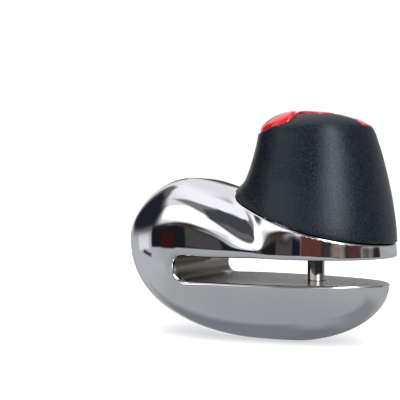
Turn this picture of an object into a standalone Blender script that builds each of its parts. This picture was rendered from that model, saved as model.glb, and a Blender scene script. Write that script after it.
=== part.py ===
"""Disc brake lock: chrome C-shaped casting with a push-down locking knob.

Metres, +Z up.  The origin is the middle of the object's footprint, on the
surface that it stands on.  +X points out of the disc slot's mouth.
Lengths below are millimetres in the "lock frame", whose origin is the locking
pin's axis at the slot's floor; put() carries them to the object's own frame.
"""
import math
import bpy
import bmesh
import numpy as np
from mathutils import Vector

# ------------------------------------------------------------------ dimensions
MM = 0.001
PIN_AXIS_X = 20.466       # pin axis, from the middle of the footprint
FLOOR_H = 20.0           # slot floor, above the rest surface

SLOT_H = 8.0             # disc slot, floor to ceiling
THROAT_X = -40.4         # closed end of the slot
SLOT_R = 4.0             # full round at the closed end

PIN_R = 2.75             # locking pin, 5.5 mm
PIN_TIP = -6.0           # how far the pin stands in the lower jaw
TRAVEL = 14.5            # knob and pin stroke
HOLE_R = 3.15            # pin's way through the upper jaw
SOCKET_R = 3.7           # bore for the bush in the lower jaw

TOWER_R = 15.0           # guide tower inside the knob
TOWER_TOP = 40.0
BORE_R = 10.9            # tower bore, over the guide sleeve
BORE_FLOOR = 12.4
SLEEVE_RO = 10.6
SLEEVE_RI = 9.3
BARREL_R = 9.0
BARREL_Z0 = 20.0
NECK_R = 7.6
PLUG_R = 6.0
PLUG_BORE = 6.3

BOLT_Z = 28.5            # latch bolt, mid height
BOLT_THROW = 2.0         # also the cam's eccentric radius

WAFERS = 5
WAFER_Z0 = 37.6
WAFER_PITCH = 2.0
WAFER_THROW = 0.9

STOP_Z = 37.0            # travel stop screw
STOP_ANGLE = math.radians(225)

SEG = 40                 # facets round the larger turned pieces

# Chrome body, as horizontal sections.  Left end, right end, half-width and the
# place of the greatest width all follow rounded arcs of height.
BODY_BOTTOM = -20.5
BODY_TOP = 33.3
LEFT_X, LEFT_Z, LEFT_P_LOW, LEFT_P_UP = -66.6, 13.4, 2.34, 1.71
BELLY_X, CREST_X = -14.4, -40.8
RIGHT_X, RIGHT_P_LOW, RIGHT_P_UP = 23.1, 2.04, 1.07
JAW_X = 25.9
WIDTH, WIDTH_Z, WIDTH_P_LOW, WIDTH_P_UP = 25.7, 10.5, 1.57, 3.6
WIDEST_X = -28.3
HEART = (-20.0, 0.0, 4.5)        # the body is seen whole from this inner point
REST_CUT = -20.0                 # small flat under the belly


# ------------------------------------------------------------------ scene start
for ob in list(bpy.data.objects):
    bpy.data.objects.remove(ob, do_unlink=True)


def material(name, rgb, rough, metal):
    m = bpy.data.materials.new(name)
    m.use_nodes = True
    b = m.node_tree.nodes["Principled BSDF"]
    b.inputs["Base Color"].default_value = (*rgb, 1.0)
    b.inputs["Roughness"].default_value = rough
    b.inputs["Metallic"].default_value = metal
    m.diffuse_color = (*rgb, 1.0)
    return m


def put(x, y, z):
    return ((x + PIN_AXIS_X) * MM, y * MM, (z + FLOOR_H) * MM)


def make(name, verts, faces, mat=None, smooth=True, angle=30):
    """Object from lock-frame points, its origin on the pin axis at the floor."""
    me = bpy.data.meshes.new(name)
    me.from_pydata([(x * MM, y * MM, z * MM) for x, y, z in verts], [], faces)
    bm = bmesh.new()
    bm.from_mesh(me)
    bmesh.ops.recalc_face_normals(bm, faces=bm.faces)
    bm.to_mesh(me)
    bm.free()
    me.update()
    if smooth:
        me.shade_smooth()
        me.set_sharp_from_angle(angle=math.radians(angle))
    ob = bpy.data.objects.new(name, me)
    ob.location = put(0, 0, 0)
    bpy.context.scene.collection.objects.link(ob)
    if mat:
        me.materials.append(mat)
    return ob


def lathe(name, profile, seg=SEG, mat=None, cx=0.0, cy=0.0, axis="Z", turn=0.0, angle=30):
    """Closed solid turned from a closed (radius, height) outline."""
    verts, rings = [], []
    for r, h in profile:
        if r < 1e-6:
            rings.append([len(verts)])
            verts.append((0.0, 0.0, h))
        else:
            ring = []
            for i in range(seg):
                a = turn + 2 * math.pi * i / seg
                ring.append(len(verts))
                verts.append((r * math.cos(a), r * math.sin(a), h))
            rings.append(ring)
    faces = []
    n = len(rings)
    for k in range(n):
        a, b = rings[k], rings[(k + 1) % n]
        if len(a) == 1 and len(b) == 1:
            continue
        for i in range(seg):
            j = (i + 1) % seg
            if len(a) == 1:
                faces.append((a[0], b[j], b[i]))
            elif len(b) == 1:
                faces.append((a[i], a[j], b[0]))
            else:
                faces.append((a[i], a[j], b[j], b[i]))
    out = []
    for x, y, z in verts:
        if axis == "X":
            x, y, z = z, x, y
        elif axis == "Y":
            x, y, z = y, z, x
        out.append((x, y, z))
    out = [(x + cx, y + cy, z) for x, y, z in out]
    return make(name, out, faces, mat, angle=angle)


def rod(name, r, z0, z1, seg=24, mat=None, cx=0.0, cy=0.0, cham=0.0, turn=0.037):
    """Upright solid cylinder with flat ends, chamfered if asked."""
    if cham:
        stations = [(r - cham, z0), (r, z0 + cham), (r, z1 - cham), (r - cham, z1)]
    else:
        stations = [(r, z0), (r, z1)]
    verts, faces = [], []
    for rr, z in stations:
        for i in range(seg):
            a = turn + 2 * math.pi * i / seg
            verts.append((cx + rr * math.cos(a), cy + rr * math.sin(a), z))
    for k in range(len(stations) - 1):
        for i in range(seg):
            j = (i + 1) % seg
            faces.append((k * seg + i, k * seg + j, (k + 1) * seg + j, (k + 1) * seg + i))
    faces.append(tuple(range(seg)))
    faces.append(tuple(range((len(stations) - 1) * seg, len(stations) * seg)))
    return make(name, verts, faces, mat)


def rod_along(name, r, a0, a1, direction, z, seg=16, mat=None, off=(0.0, 0.0), cham=0.0):
    """Horizontal rod from a0 to a1 along a direction, at height z."""
    dx, dy = direction
    verts, faces = [], []
    stations = [(a0, r), (a1, r)]
    if cham:
        stations = [(a0, r - cham), (a0 + cham, r), (a1 - cham, r), (a1, r - cham)]
    for a, rr in stations:
        for i in range(seg):
            t = 2 * math.pi * i / seg
            s, h = rr * math.cos(t), rr * math.sin(t)
            verts.append((off[0] + dx * a - dy * s, off[1] + dy * a + dx * s, z + h))
    for k in range(len(stations) - 1):
        for i in range(seg):
            j = (i + 1) % seg
            faces.append((k * seg + i, k * seg + j, (k + 1) * seg + j, (k + 1) * seg + i))
    faces.append(tuple(range(seg)))
    faces.append(tuple(range((len(stations) - 1) * seg, len(stations) * seg)))
    return make(name, verts, faces, mat)


def prism(name, outline, lo, hi, axis="Z", mat=None):
    """Straight extrusion of a closed outline: (x, y) along Z, or (x, z) along Y."""
    n = len(outline)
    verts = []
    for h in (lo, hi):
        for a, b in outline:
            verts.append((a, b, h) if axis == "Z" else (a, h, b))
    faces = [tuple(range(n)), tuple(range(n, 2 * n))]
    for i in range(n):
        j = (i + 1) % n
        faces.append((i, j, n + j, n + i))
    return make(name, verts, faces, mat)


def block(name, x0, x1, y0, y1, z0, z1, mat=None):
    return prism(name, [(x0, y0), (x1, y0), (x1, y1), (x0, y1)], z0, z1, mat=mat)


def tool(ob):
    """A cutting or adding body, which is no piece of the object."""
    ob.name = "_" + ob.name
    ob.hide_render = True
    ob.display_type = "WIRE"
    return ob


def boolean(ob, other, kind):
    tool(other)
    m = ob.modifiers.new(kind.lower(), "BOOLEAN")
    m.operation = kind
    m.solver = "EXACT"
    m.object = other
    return m


def cut(ob, other):
    return boolean(ob, other, "DIFFERENCE")


def fuse(ob, other):
    return boolean(ob, other, "UNION")


def keep(ob, other):
    return boolean(ob, other, "INTERSECT")


# ------------------------------------------------------------------ shape rules
def arc(s, p):
    s = np.clip(s, 0.0, 1.0)
    return (1.0 - s ** p) ** (1.0 / p)


KNOB_Z = (8.0, 12.4, 17.4, 22.1, 26.8, 31.5, 36.2, 40.3, 44.4, 46.5, 47.2, 47.9, 48.3)
KNOB_R = (25.5, 25.4, 25.15, 24.55, 23.8, 22.85, 21.4, 20.3, 19.15, 18.7, 18.5, 18.25, 17.9)


def knob_radius(z, c=0.0):
    """Outer radius of the knob at height z, in a direction with cosine c to +X.

    A cone with slightly bowed sides, a little fuller towards the mouth."""
    lean = 0.45 * np.sin(np.clip((z - 31.0) / 17.5, 0, 1) * math.pi)
    return np.interp(z, KNOB_Z, KNOB_R) + lean * c


def seat_height(x):
    """Parting line between casting and knob, seen from the side."""
    return 17.2 - 0.31 * x + 0.0043 * x * x + 0.9 * np.clip((-17.0 - x) / 6.0, 0, 1) ** 2


def flare(c):
    """How far the knob's foot turns outwards where it meets the hump."""
    w = np.clip((-c - 0.45) / 0.40, 0, 1)
    return 2.4 * w * w * (3 - 2 * w)


def foot_height(c):
    """Height of the parting line in a direction with cosine c to +X."""
    z = 20.0 - 8.0 * c
    for _ in range(12):
        z = 0.5 * z + 0.5 * seat_height((knob_radius(z, c) + flare(c)) * c)
    return z


def knob_skin(z, c):
    """Outer radius with the flared foot."""
    up = np.clip(z - foot_height(c), 0, None)
    return knob_radius(z, c) + flare(c) * np.exp(-(up / 2.4) ** 2)


CROWN_R = 33.1


def dome(r):
    """Crown of the knob's black cap: part of a ball."""
    r = np.minimum(r, 18.1)
    return 53.65 - (CROWN_R - np.sqrt(CROWN_R ** 2 - r ** 2))


def hood(r):
    """Crown of the red hood: fuller than the cap, then rounding over the rim."""
    return 54.15 - 5.8 * (np.clip(r, 0, 19) / 18.1) ** 4 - 1.2 * (np.clip(r - 17.6, 0, 1) / 0.7) ** 2


def body_section(z):
    """Left end, right end, half-width and widest place of the body at height z."""
    low = (LEFT_Z - z) / (LEFT_Z - BODY_BOTTOM)
    up = (z - LEFT_Z) / (BODY_TOP - LEFT_Z)
    xl = np.where(z < LEFT_Z,
                  BELLY_X - (BELLY_X - LEFT_X) * arc(low, LEFT_P_LOW),
                  CREST_X - (CREST_X - LEFT_X) * arc(up, LEFT_P_UP))
    k = np.clip(z / 10.0, 0, 1)
    k = k * k * (3 - 2 * k)
    xr_low = BELLY_X + (RIGHT_X - BELLY_X) * arc(z / BODY_BOTTOM, RIGHT_P_LOW)
    xr_mid = RIGHT_X + (JAW_X - RIGHT_X) * k
    xr_up = CREST_X + (JAW_X - CREST_X) * arc((z - 10) / (BODY_TOP - 10), RIGHT_P_UP)
    xr = np.where(z < 0, xr_low, np.where(z < 10, xr_mid, xr_up))
    s_low = (WIDTH_Z - z) / (WIDTH_Z - BODY_BOTTOM)
    s_up = (z - WIDTH_Z) / (BODY_TOP - WIDTH_Z)
    b = WIDTH * np.where(z < WIDTH_Z, arc(s_low, WIDTH_P_LOW), arc(s_up, WIDTH_P_UP))
    xc = np.where(z < WIDTH_Z,
                  BELLY_X + (WIDEST_X - BELLY_X) * arc(s_low, 2.0),
                  WIDEST_X + (CREST_X - WIDEST_X) * np.clip(s_up, 0, 1) ** 2)
    xc = np.clip(xc, xl + 0.3, np.maximum(xr - 0.3, xl + 0.3))
    return xl, xr, b, xc


def in_egg(x, y, z):
    xl, xr, b, xc = body_section(z)
    a = np.where(x < xc, xc - xl, xr - xc)
    e = ((x - xc) / np.maximum(a, 1e-3)) ** 2 + (y / np.maximum(b, 1e-3)) ** 2
    return (z > BODY_BOTTOM) & (z < BODY_TOP) & (e < 1.0)


def in_collar(x, y, z):
    """Round seat under the knob, which the egg-shaped body runs into."""
    c = x / np.maximum(np.hypot(x, y), 1e-6)
    zs = foot_height(c)
    fall = np.where(z > zs, (z - zs) / 2.4, (zs - z) / 7.0)
    rc = knob_radius(z, c) + 0.15 + 0.96 * flare(c) * np.exp(-fall * fall)
    return (x * x + y * y < rc * rc) & (z > 3.0) & (z < zs + 2.0)


def reach(inside, d):
    """Distance from the heart to a surface along unit directions d."""
    lo = np.zeros(len(d))
    hi = np.full(len(d), 90.0)
    for _ in range(34):
        mid = 0.5 * (lo + hi)
        p = np.array(HEART) + d * mid[:, None]
        ok = inside(p[:, 0], p[:, 1], p[:, 2])
        lo = np.where(ok, mid, lo)
        hi = np.where(ok, hi, mid)
    return 0.5 * (lo + hi)


def body_reach(d):
    a, b = reach(in_egg, d), reach(in_collar, d)
    k = 2.6
    return 0.5 * (a + b + np.sqrt((a - b) ** 2 + k * k)) - 0.5 * k * np.exp(-((a - b) / 9.0) ** 2)


# ------------------------------------------------------------------ materials
chrome = material("chrome", (0.80, 0.81, 0.83), 0.04, 1.0)
steel_bush = material("bush_steel", (0.55, 0.55, 0.56), 0.30, 1.0)
bronze = material("sleeve_bronze", (0.55, 0.38, 0.20), 0.35, 1.0)
rubber = material("seal_rubber", (0.02, 0.02, 0.02), 0.80, 0.0)
spring_steel = material("spring_steel", (0.45, 0.45, 0.47), 0.30, 1.0)
black_screw = material("black_oxide", (0.04, 0.04, 0.045), 0.45, 0.8)
pin_steel = material("pin_steel", (0.72, 0.72, 0.73), 0.12, 1.0)
dowel_steel = material("dowel_steel", (0.60, 0.60, 0.62), 0.25, 1.0)
barrel_zinc = material("barrel_zinc", (0.62, 0.62, 0.63), 0.35, 1.0)
plug_brass = material("plug_nickel", (0.68, 0.66, 0.60), 0.25, 1.0)
wafer_brass = material("wafer_brass", (0.70, 0.52, 0.22), 0.30, 1.0)
cam_steel = material("cam_steel", (0.50, 0.50, 0.52), 0.35, 1.0)
bolt_steel = material("bolt_steel", (0.58, 0.58, 0.60), 0.28, 1.0)
knob_black = material("knob_black", (0.018, 0.020, 0.024), 0.55, 0.0)
cap_black = material("cap_black", (0.022, 0.024, 0.028), 0.38, 0.0)
accent_red = material("accent_red", (0.62, 0.010, 0.012), 0.18, 0.0)


# ------------------------------------------------------------------ body casting
def egg_mesh(name, lon, lat):
    verts, faces = [], []
    heart = np.array(HEART)
    polar = []
    for k in range(1, lat):
        t = math.pi * k / lat
        polar.append(t)
    dirs = [(0, 0, 1)]
    for t in polar:
        for i in range(lon):
            a = 2 * math.pi * i / lon
            dirs.append((math.sin(t) * math.cos(a), math.sin(t) * math.sin(a), math.cos(t)))
    dirs.append((0, 0, -1))
    d = np.array(dirs, float)
    p = heart + d * body_reach(d)[:, None]
    verts = [tuple(v) for v in p]
    for i in range(lon):
        faces.append((0, 1 + i, 1 + (i + 1) % lon))
    for k in range(lat - 2):
        for i in range(lon):
            a, b = 1 + k * lon + i, 1 + k * lon + (i + 1) % lon
            faces.append((a, a + lon, b + lon, b))
    last = len(verts) - 1
    base = 1 + (lat - 2) * lon
    for i in range(lon):
        faces.append((last, base + (i + 1) % lon, base + i))
    return make(name, verts, faces, chrome, angle=40)


body = egg_mesh("body_casting", 64, 34)

# everything above the knob's seat
xs = np.linspace(-26.6, 34.0, 25)
seat = [(float(x), float(seat_height(x))) for x in xs]
seat_tool = prism("seat", seat + [(34.0, 70.0), (-26.6, 70.0)], -50, 50, axis="Y")
cut(body, seat_tool)
tower = rod("tower", TOWER_R, 9.5, TOWER_TOP, SEG, cham=0.0)
fuse(body, tower)

# disc slot with its full-round closed end
slot = [(60.0, 0.0)]
for i in range(13):
    a = -math.pi / 2 - math.pi * i / 12
    slot.append((THROAT_X + SLOT_R + SLOT_R * math.cos(a), SLOT_R + SLOT_R * math.sin(a)))
slot.append((60.0, SLOT_H))
cut(body, prism("slot", slot, -50, 50, axis="Y"))
cut(body, rod("tower_bore", BORE_R, BORE_FLOOR, 60.0, SEG))
cut(body, rod("pin_way", HOLE_R, 5.0, 14.0, 28))
cut(body, rod("socket", SOCKET_R, -7.4, 3.0, 28))
cut(body, block("rest_flat", -80, 60, -40, 40, -40.0, REST_CUT))
cut(body, block("latch_pocket", 8.0, 12.4, -2.9, 2.9, BOLT_Z - 2.3, BOLT_Z + 2.3))
sd = (math.cos(STOP_ANGLE), math.sin(STOP_ANGLE))
cut(body, rod_along("stop_tap", 1.75, 9.0, 17.0, sd, STOP_Z))

# ------------------------------------------------------------------ fixed inner pieces
lathe("pin_socket_bush", [(3.05, -7.05), (3.45, -7.05), (3.45, -0.1), (3.05, -0.1)], 28, steel_bush)

sleeve = lathe("guide_sleeve", [(SLEEVE_RI, 12.7), (SLEEVE_RO, 12.7), (SLEEVE_RO, 38.2), (SLEEVE_RI, 38.2)],
               SEG, bronze)
cut(sleeve, block("sleeve_window", 7.0, 12.0, -2.9, 2.9, BOLT_Z - 2.3, BOLT_Z + 2.3))
cut(sleeve, rod_along("sleeve_hole", 1.45, 7.0, 12.0, sd, STOP_Z))
lathe("wiper_seal", [(9.3, 38.5), (10.6, 38.5), (10.6, 39.7), (9.6, 39.9), (9.25, 39.3)], SEG, rubber)

stop = rod_along("travel_stop_screw", 1.45, 10.95, 14.7, sd, STOP_Z, mat=black_screw)
fuse(stop, rod_along("stop_dog", 1.1, 7.9, 11.6, sd, STOP_Z, seg=12))
cut(stop, prism("stop_socket", [(0.9 * math.cos(math.pi / 3 * i), STOP_Z + 0.9 * math.sin(math.pi / 3 * i))
                                for i in range(6)], 13.0, 16.0, axis="Y"))
stop.modifiers[-1].object.rotation_euler[2] = STOP_ANGLE - math.pi / 2

# return spring under the barrel
TURNS, COIL_R, WIRE_R = 5.0, 6.4, 0.45
SPRING_Z0, SPRING_Z1 = 12.75, 19.65
curve = bpy.data.curves.new("return_spring", "CURVE")
curve.dimensions = "3D"
curve.bevel_depth = WIRE_R * MM
curve.bevel_resolution = 1
curve.use_fill_caps = True
sp = curve.splines.new("POLY")
steps = int(TURNS * 18)
sp.points.add(steps)
for i in range(steps + 1):
    f = i / steps
    a = 2 * math.pi * TURNS * f
    h = SPRING_Z0 + WIRE_R + (SPRING_Z1 - SPRING_Z0 - 2 * WIRE_R) * f
    sp.points[i].co = (COIL_R * math.cos(a) * MM, COIL_R * math.sin(a) * MM, h * MM, 1)
spring = bpy.data.objects.new("return_spring", curve)
spring.location = put(0, 0, 0)
bpy.context.scene.collection.objects.link(spring)
curve.materials.append(spring_steel)

# ------------------------------------------------------------------ knob
def knob_mesh(name, seg, mat):
    """Thin-walled cone: its foot follows the parting line, its top is a disc."""
    up = (0.0, 0.05, 0.12, 0.21, 0.34, 0.50, 0.66, 0.80, 0.91, 0.97, 1.0)
    down = (0.90, 0.66, 0.38, 0.16, 0.0)
    verts, faces, rings = [], [], []

    def ring(fn):
        row = []
        for i in range(seg):
            a = 2 * math.pi * i / seg
            r, z = fn(math.cos(a))
            row.append(len(verts))
            verts.append((r * math.cos(a), r * math.sin(a), z))
        rings.append(row)

    def skin(t, wall):
        def fn(c):
            z0 = float(foot_height(c)) + 0.35
            z = z0 + (47.9 - z0) * t
            if wall:
                z = z0 + (46.0 - z0) * t
                return float(knob_radius(z, c)) - 2.8, z
            return float(knob_skin(z, c)), z
        return fn

    for t in up:
        ring(skin(t, False))
    for r, z in ((17.95, 48.3), (17.5, 48.7), (17.5, 47.3), (9.35, 47.3), (9.35, 46.0), (15.8, 46.0)):
        ring(lambda c, r=r, z=z: (r, z))
    for t in down:
        ring(skin(t, True))
    n = len(rings)
    for k in range(n):
        a, b = rings[k], rings[(k + 1) % n]
        for i in range(seg):
            j = (i + 1) % seg
            faces.append((a[i], a[j], b[j], b[i]))
    return make(name, verts, faces, mat, angle=35)


knob = knob_mesh("knob_shell", 52, knob_black)

SCREW_R = 11.9
screw_at = [(SCREW_R * math.cos(math.radians(a)), SCREW_R * math.sin(math.radians(a))) for a in (60, 180, 300)]
for i, (sx, sy) in enumerate(screw_at):
    cut(knob, rod("disc_hole_%d" % i, 1.6, 44.0, 50.0, 14, cx=sx, cy=sy))

# cap: crowned disc, clamped to the shell's top
cap_r = np.array([6.35, 9.0, 11.5, 13.5, 15.3, 16.5, 17.2])
cap_profile = [(float(r), float(dome(r))) for r in cap_r[::-1]]
cap = lathe("knob_cap", [(7.9, 47.6), (17.2, 47.6)] + cap_profile + [(6.35, 51.8), (7.9, 51.8)], 52, cap_black,
            turn=0.017, angle=35)
for i, (sx, sy) in enumerate(screw_at):
    cut(cap, rod("cap_hole_%d" % i, 1.55, 46.0, 50.2, 14, cx=sx, cy=sy))


def offset(pts, grow):
    out = []
    n = len(pts)
    for i in range(n):
        p, q, r = pts[i - 1], pts[i], pts[(i + 1) % n]
        t = Vector((r[0] - p[0], r[1] - p[1])).normalized()
        out.append((q[0] + t.y * grow, q[1] - t.x * grow))
    return out


# plan outlines, anticlockwise, of the red hood and the red tip
HOOD_EDGE = [(-6.5, -21.0), (-4.9, -19.0), (-3.6, -17.9), (-2.9, -16.8), (-2.7, -15.4), (-2.8, -13.0),
             (-3.2, -10.0), (-3.7, -7.2), (-4.1, -4.0), (-4.2, 0.0)]
TIP_EDGE = [(12.9, 0.0), (13.2, -2.2), (14.2, -3.8), (15.5, -4.8), (16.7, -5.3), (17.5, -5.0), (18.2, -4.2),
            (21.0, -3.6)]
hood_plan = [(-21.0, -21.0)] + HOOD_EDGE + [(x, -y) for x, y in HOOD_EDGE[-2::-1]] + [(-21.0, 21.0)]
tip_plan = TIP_EDGE + [(x, -y) for x, y in TIP_EDGE[:0:-1]]


def crown_slab(name, top, under, rim, mat=None):
    """Crowned disc between two height rules of radius, out to a rim radius."""
    rings = [0.0, 5.0, 8.0, 11.0, 14.0, 15.5, 16.5, 17.2, 17.8, rim]
    seg = 44
    verts, faces, edge = [], [], []
    for side in (1, -1):
        idx = []
        for r in rings:
            row = []
            z = float(top(r) if side > 0 else under(r))
            for i in range(1 if r == 0 else seg):
                a = 2 * math.pi * (i + 0.5) / seg
                row.append(len(verts))
                verts.append((r * math.cos(a), r * math.sin(a), z))
            idx.append(row)
        for k in range(len(rings) - 1):
            a, b = idx[k], idx[k + 1]
            for i in range(seg):
                j = (i + 1) % seg
                if len(a) == 1:
                    faces.append((a[0], b[i], b[j]))
                else:
                    faces.append((a[i], b[i], b[j], a[j]))
        edge.append(idx[-1])
    for i in range(seg):
        j = (i + 1) % seg
        faces.append((edge[0][i], edge[1][i], edge[1][j], edge[0][j]))
    return make(name, verts, faces, mat, angle=35)


UNDER_R = (14.0, 15.5, 16.5, 17.2)


def hood_under(r):
    """The hood's underside: follows the crown, then drops to wrap the rim."""
    if r <= 14.0:
        return float(dome(r)) - 0.7
    return float(np.interp(r, UNDER_R, (float(dome(14.0)) - 0.7, 48.7, 48.0, 47.2)))


def hood_top(r):
    return max(float(hood(r)), hood_under(r) + 0.3)


def tip_top(r):
    if r <= 17.2:
        return float(dome(r)) + 0.3
    return float(np.interp(r, (17.2, 17.8, 18.35), (float(dome(17.2)) + 0.3, 48.75, 48.15)))


def tip_under(r):
    return float(dome(r)) - 0.7 if r <= 16.5 else 47.7


accent = crown_slab("accent_hood", hood_top, hood_under, 18.3, accent_red)
keep(accent, prism("hood_plan", hood_plan, 40, 60))
cut(accent, rod("hood_keyhole", 6.35, 40.0, 60.0, 36))
cut(accent, block("hinge_notch", -8.35, -5.0, -1.7, 1.7, 50.5, 56.0))
cut(accent, rod_along("hinge_bore", 0.85, -3.1, 3.1, (0, 1), 53.0, 10, off=(-7.0, 0.0)))
tip = crown_slab("accent_tip", tip_top, tip_under, 18.35, accent_red)
keep(tip, prism("tip_plan", tip_plan, 40, 60))


def recess(name, plan, under):
    ob = crown_slab(name, lambda r: 58.0, lambda r: under(r) - 0.3, 22.0)
    keep(ob, prism(name + "_plan", offset(plan, 0.3), 40, 60))
    return ob


for nm, plan, under in (("hood_recess", hood_plan, hood_under), ("tip_recess", tip_plan, tip_under)):
    for target in (cap, knob):
        cut(target, recess(nm + target.name, plan, under))
cut(cap, block("cap_hinge_notch", -8.6, -5.0, -2.0, 2.0, 51.6, 56.0))

# dust cover over the keyhole, hinged at its back edge
HINGE_X, HINGE_Z = -7.0, 53.0
cover_r = [0.0, 3.0, 5.2, 6.0]
cover = lathe("keyhole_cover", [(6.0, 52.6)] + [(r, float(dome(r)) + (0.12 if r < 6 else -0.05)) for r in cover_r[::-1]]
              + [(0.0, 52.6)], 36, accent_red, turn=0.029)
for v in cover.data.vertices:                # the hinge side stands a little higher
    if v.co.z > 52.7 * MM:
        x = v.co.x / MM
        k = min(max((3.5 - x) / 6.0, 0.0), 1.0)
        q = min(max((-1.0 - x) / 4.0, 0.0), 1.0)
        v.co.z += (0.5 * k * k * (3 - 2 * k) + 0.25 * q * q * (3 - 2 * q)) * MM
for side in (-1, 1):                         # room for the back corners when it opens
    lo, hi = sorted((1.3 * side, 7.0 * side))
    cut(cover, block("cover_corner_%d" % (side + 1), -8.0, -4.9, lo, hi, 50.0, 56.0))
fuse(cover, rod_along("knuckle", 0.95, -1.35, 1.35, (0, 1), HINGE_Z, 14, off=(HINGE_X, 0.0)))
fuse(cover, block("cover_strap", -7.0, -4.5, -1.35, 1.35, 52.8, 53.55))
cut(cover, rod_along("knuckle_bore", 0.75, -3.0, 3.0, (0, 1), HINGE_Z, 10, off=(HINGE_X, 0.0)))
rod_along("cover_hinge_pin", 0.45, -2.9, 2.9, (0, 1), HINGE_Z, 10, dowel_steel, off=(HINGE_X, 0.0))

# ------------------------------------------------------------------ lock barrel
barrel = lathe("lock_barrel", [(0, 25.2), (3.05, 25.2), (3.05, BARREL_Z0), (8.6, BARREL_Z0),
                               (BARREL_R, BARREL_Z0 + 0.4), (BARREL_R, 43.0),
                               (14.0, 43.0), (14.0, 45.65), (BARREL_R, 45.65), (BARREL_R, 47.0), (NECK_R, 47.0),
                               (NECK_R, 51.4), (PLUG_BORE, 51.4), (PLUG_BORE, 26.4), (0, 26.4)], SEG, barrel_zinc,
               turn=0.011)
cut(barrel, block("bolt_way", 4.0, 12.0, -2.8, 2.8, BOLT_Z - 2.05, BOLT_Z + 2.05))
cut(barrel, rod_along("dowel_way", 1.3, -12.0, 12.0, (1, 0), 22.8, 14))
cut(barrel, rod_along("retainer_way", 1.05, -12.0, 12.0, (1, 0), 35.0, 12, off=(0.0, 6.3)))
w, g = 2.7, 7.15
cut(barrel, prism("wafer_grooves", [(w, -g), (w, -w), (g, -w), (g, w), (w, w), (w, g),
                                    (-w, g), (-w, w), (-g, w), (-g, -w), (-w, -w), (-w, -g)], 36.8, 46.5))
groove = block("stop_groove", 7.45, 10.0, -1.45, 1.45, STOP_Z - TRAVEL - 1.45, STOP_Z + 1.45)
groove.rotation_euler[2] = STOP_ANGLE
cut(barrel, groove)
for i, (sx, sy) in enumerate(screw_at):
    cut(barrel, rod("flange_hole_%d" % i, 1.6, 41.0, 48.0, 14, cx=sx, cy=sy))

# locking pin, held in the barrel by a cross dowel
pin = lathe("locking_pin", [(0, PIN_TIP), (PIN_R - 0.7, PIN_TIP), (PIN_R, PIN_TIP + 0.7), (PIN_R, 24.9), (0, 24.9)],
            32, pin_steel)
cut(pin, rod_along("pin_cross_hole", 1.3, -5.0, 5.0, (1, 0), 22.8, 14))
rod_along("pin_retaining_dowel", 1.0, -8.4, 8.4, (1, 0), 22.8, 16, dowel_steel, cham=0.2)

for i, (sx, sy) in enumerate(screw_at):
    s = lathe("knob_screw_%d" % (i + 1), [(0, 41.2), (2.3, 41.2), (2.6, 41.5), (2.6, 42.7), (1.25, 42.7),
                                          (1.25, 49.7), (0.9, 50.05), (0, 50.05)], 16, black_screw, sx, sy)
    cut(s, rod("drive_%d" % i, 1.25, 40.0, 42.1, 6, cx=sx, cy=sy))

# ------------------------------------------------------------------ key plug
plug = lathe("key_plug", [(0, 32.5), (PLUG_R, 32.5), (PLUG_R, 33.9), (4.95, 33.9), (4.95, 36.1), (PLUG_R, 36.1),
                          (PLUG_R, 51.8), (PLUG_R - 0.4, 52.2), (0, 52.2)], 36, plug_brass)
cut(plug, block("keyway", -0.8, 0.8, -3.9, 2.3, 36.8, 60.0))
cut(plug, block("drive_slot", -2.5, 2.5, -1.3, 1.3, 30.0, 34.5))
for i in range(WAFERS):
    z = WAFER_Z0 + WAFER_PITCH * i
    cut(plug, block("wafer_slot_%d" % i, -2.6, 2.6, -7.0, 7.0, z - 0.7, z + 0.7))

for i in range(WAFERS):
    z = WAFER_Z0 + WAFER_PITCH * i
    out = [(-2.3, -5.1), (-1.9, -5.55), (1.9, -5.55), (2.3, -5.1), (2.3, 5.1), (1.9, 5.55), (-1.9, 5.55), (-2.3, 5.1)]
    w = prism("wafer_%d" % (i + 1), out, z - 0.4, z + 0.4, mat=wafer_brass)
    lift = 0.25 * ((i * 2) % 5) - 0.5
    cut(w, block("wafer_window_%d" % i, -1.15, 1.15, -4.1 + lift * 0.4, 2.6 + lift * 0.4, z - 1, z + 1))

cam = rod("bolt_cam", 5.7, 30.6, 32.2, 32, cam_steel, cham=0.2, turn=0.021)
fuse(cam, rod("cam_pin", 0.8, 28.0, 31.4, 14, cx=-BOLT_THROW, turn=0.13))
fuse(cam, block("cam_tang", -2.2, 2.2, -1.0, 1.0, 31.5, 34.2))

bolt = prism("locking_bolt", [(-4.2, -3.4), (-3.6, -4.0), (2.6, -4.0), (3.4, -2.5), (8.3, -2.5), (8.75, -2.0),
                              (8.75, 2.0), (8.3, 2.5), (3.4, 2.5), (2.6, 4.0), (-3.6, 4.0), (-4.2, 3.4)],
             BOLT_Z - 1.7, BOLT_Z + 1.7, mat=bolt_steel)
cut(bolt, block("cam_slot", -BOLT_THROW - 1.45, -BOLT_THROW + 1.45, -1.15, 3.15, 27.6, 32.0))

rod_along("plug_retaining_pin", 0.75, -5.9, 5.9, (1, 0), 35.0, 12, dowel_steel, off=(0.0, 6.3))
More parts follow.
